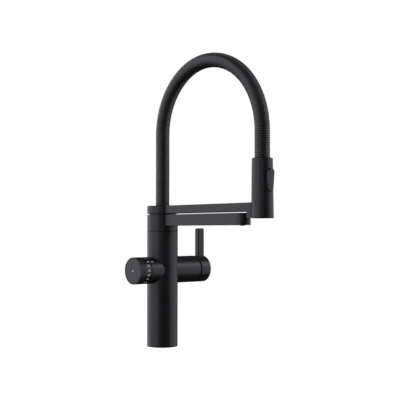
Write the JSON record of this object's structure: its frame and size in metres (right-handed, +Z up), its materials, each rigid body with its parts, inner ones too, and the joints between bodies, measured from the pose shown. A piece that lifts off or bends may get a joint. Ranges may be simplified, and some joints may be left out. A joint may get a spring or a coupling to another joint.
{
  "type": "three-way filtered water tap",
  "caption": "Black kitchen tap with a mixer lever, a filter dial with a push button, a swivelling filtered-water spout and a ribbed hose with a magnetically docked spray head.",
  "frame": {"origin": "centre of the foot's underside, on the worktop", "axes": "+Z up along the column, -Y along both arms towards the user, +X to the mixer lever"},
  "size_m": [0.1544, 0.2814, 0.4804],
  "materials": {
    "black_coat": "satin",
    "black_plastic": "matte",
    "hose_rubber": "matte",
    "inner_rubber": "matte",
    "seal_rubber": "matte",
    "brass": "satin",
    "steel": "satin",
    "ceramic": "satin",
    "white_print": "matte",
    "lens": "gloss",
    "nozzle_rubber": "matte"
  },
  "bodies": {
    "column": {"base_gasket": "seal_rubber", "base_plug": "brass", "body_shell": "black_coat", "hot_tube": "brass", "cold_tube": "brass", "filter_tube": "brass", "valve_manifold": "brass", "mixed_riser": "brass", "filter_riser": "brass", "swivel_post": "brass", "post_seals": "seal_rubber", "collar_washer": "black_plastic", "hub_washer": "black_plastic", "hub_nut": "brass", "valve_housing": "black_coat", "mixer_cartridge": "black_plastic", "fixed_disc": "ceramic", "cartridge_nut": "brass", "valve_gap_ring": "black_plastic", "dial_boss": "black_coat", "filter_headpart": "brass", "dial_glide_ring": "black_plastic", "index_mark": "white_print"},
    "spout": {"filter_spout": "black_coat", "aerator_housing": "black_plastic", "aerator_seal": "seal_rubber", "aerator_screen": "black_plastic"},
    "holder": {"holder_arm": "black_coat", "holder_magnet": "steel", "hub_cap": "black_coat", "hose_nipple": "brass", "nipple_seal": "seal_rubber", "spray_hose": "hose_rubber", "inner_hose": "inner_rubber"},
    "hose_end": {"hose_ferrule": "brass"},
    "spray_head": {"spray_shell": "black_coat", "spray_core": "black_plastic", "check_valve": "black_plastic", "swivel_seal": "seal_rubber", "docking_plate": "steel", "button_pin": "steel", "spray_face": "black_plastic", "spray_nozzles": "nozzle_rubber", "jet_aerator": "black_plastic"},
    "rocker": {"spray_button": "black_plastic"},
    "diverter": {"diverter_spool": "black_plastic"},
    "lever": {"lever_cap": "black_coat", "lever_bar": "black_coat", "lever_stud": "steel", "lever_grub_screw": "steel", "cartridge_stem": "brass", "moving_disc": "ceramic"},
    "dial": {"dial_ring": "black_coat", "dial_spindle": "brass", "dial_marks": "white_print", "button_return_ring": "seal_rubber"},
    "dial_push": {"dial_button": "black_coat", "button_lens": "lens"}
  },
  "joints": [
    {"name": "spout_swivel", "type": "hinge", "parent": "column", "child": "spout", "pos_m": [0, 0, 0.206], "axis": [0, 0, 1], "range_deg": [-70, 70]},
    {"name": "holder_swivel", "type": "hinge", "parent": "column", "child": "holder", "pos_m": [0, 0, 0.2234], "axis": [0, 0, 1], "range_deg": [-70, 70]},
    {"name": "head_pull", "type": "slide", "parent": "holder", "child": "hose_end", "axis": [0, -1, 0], "range_m": [0, 0.05], "stiffness_N_per_m": 60, "springref_m": -0.03, "deforming": ["spray_hose", "inner_hose"]},
    {"name": "head_turn", "type": "hinge", "parent": "hose_end", "child": "spray_head", "pos_m": [0, -0.2351, 0.28], "axis": [0, 0, 1], "range_deg": [-90, 90]},
    {"name": "rocker_press", "type": "hinge", "parent": "spray_head", "child": "rocker", "pos_m": [0, -0.2446, 0.2594], "axis": [-1, 0, 0], "range_deg": [0, 4.5]},
    {"name": "diverter_slide", "type": "slide", "parent": "spray_head", "child": "diverter", "axis": [0, 0, -1], "range_m": [0, 0.0008]},
    {"name": "lever_turn", "type": "hinge", "parent": "column", "child": "lever", "pos_m": [0.08, 0, 0.1282], "axis": [1, 0, 0], "range_deg": [0, 90]},
    {"name": "dial_turn", "type": "hinge", "parent": "column", "child": "dial", "pos_m": [-0.05, 0, 0.1282], "axis": [-1, 0, 0], "range_deg": [-20, 180]},
    {"name": "dial_press", "type": "slide", "parent": "dial", "child": "dial_push", "axis": [1, 0, 0], "range_m": [0, 0.0015], "stiffness_N_per_m": 2000, "springref_m": -0.0005, "deforming": ["button_return_ring"]}
  ],
  "couplings": [
    {"joint": "diverter_slide", "follows": "rocker_press", "m_per_rad": 0.0095}
  ]
}
